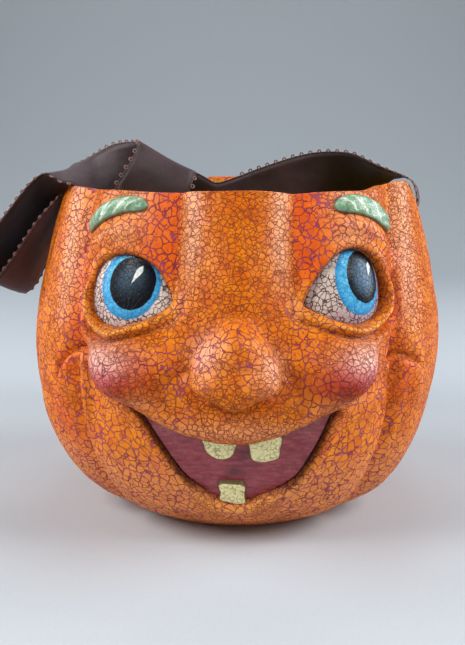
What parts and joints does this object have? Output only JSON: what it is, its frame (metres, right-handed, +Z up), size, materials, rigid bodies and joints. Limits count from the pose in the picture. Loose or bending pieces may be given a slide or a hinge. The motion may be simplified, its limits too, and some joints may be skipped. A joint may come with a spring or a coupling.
{
  "type": "pumpkin bucket",
  "caption": "Open-topped hollow ceramic pumpkin with a carved smiling face, domed eyes and raised brows, carried by a wide ribbon handle laced through holes below its rim.",
  "frame": {"origin": "centre of the flat base, on the surface the figure stands on", "axes": "+Z up, -Y out of the face, +X to the right of someone looking at the face"},
  "size_m": [0.2686, 0.2588, 0.2062],
  "materials": {
    "orange_crackle_glaze": "orange crackle glaze with purple-brown cracks, varnished",
    "maroon_gloss": "gloss",
    "ivory_paint": "matt paint, faintly crackled",
    "crackled_white": "painted, fine dark crackle, varnished",
    "green_paint": "satin paint",
    "brown_satin": "satin ribbon with picot edges"
  },
  "bodies": {
    "pumpkin": {"pumpkin_shell": "orange_crackle_glaze", "mouth_panel": "maroon_gloss", "upper_left_tooth": "ivory_paint", "upper_right_tooth": "ivory_paint", "lower_tooth": "ivory_paint", "left_eyeball": "crackled_white", "right_eyeball": "crackled_white", "left_eyebrow": "green_paint", "right_eyebrow": "green_paint", "ribbon_left_loop": "brown_satin", "ribbon_right_end": "brown_satin", "ribbon_left_knot": "brown_satin", "ribbon_right_knot": "brown_satin"},
    "handle": {"ribbon_handle": "brown_satin"}
  },
  "joints": [
    {"name": "handle_swing", "type": "hinge", "parent": "pumpkin", "child": "handle", "pos_m": [0, 0, 0.188], "axis": [1, 0, 0], "range_deg": [-60, 60]}
  ]
}
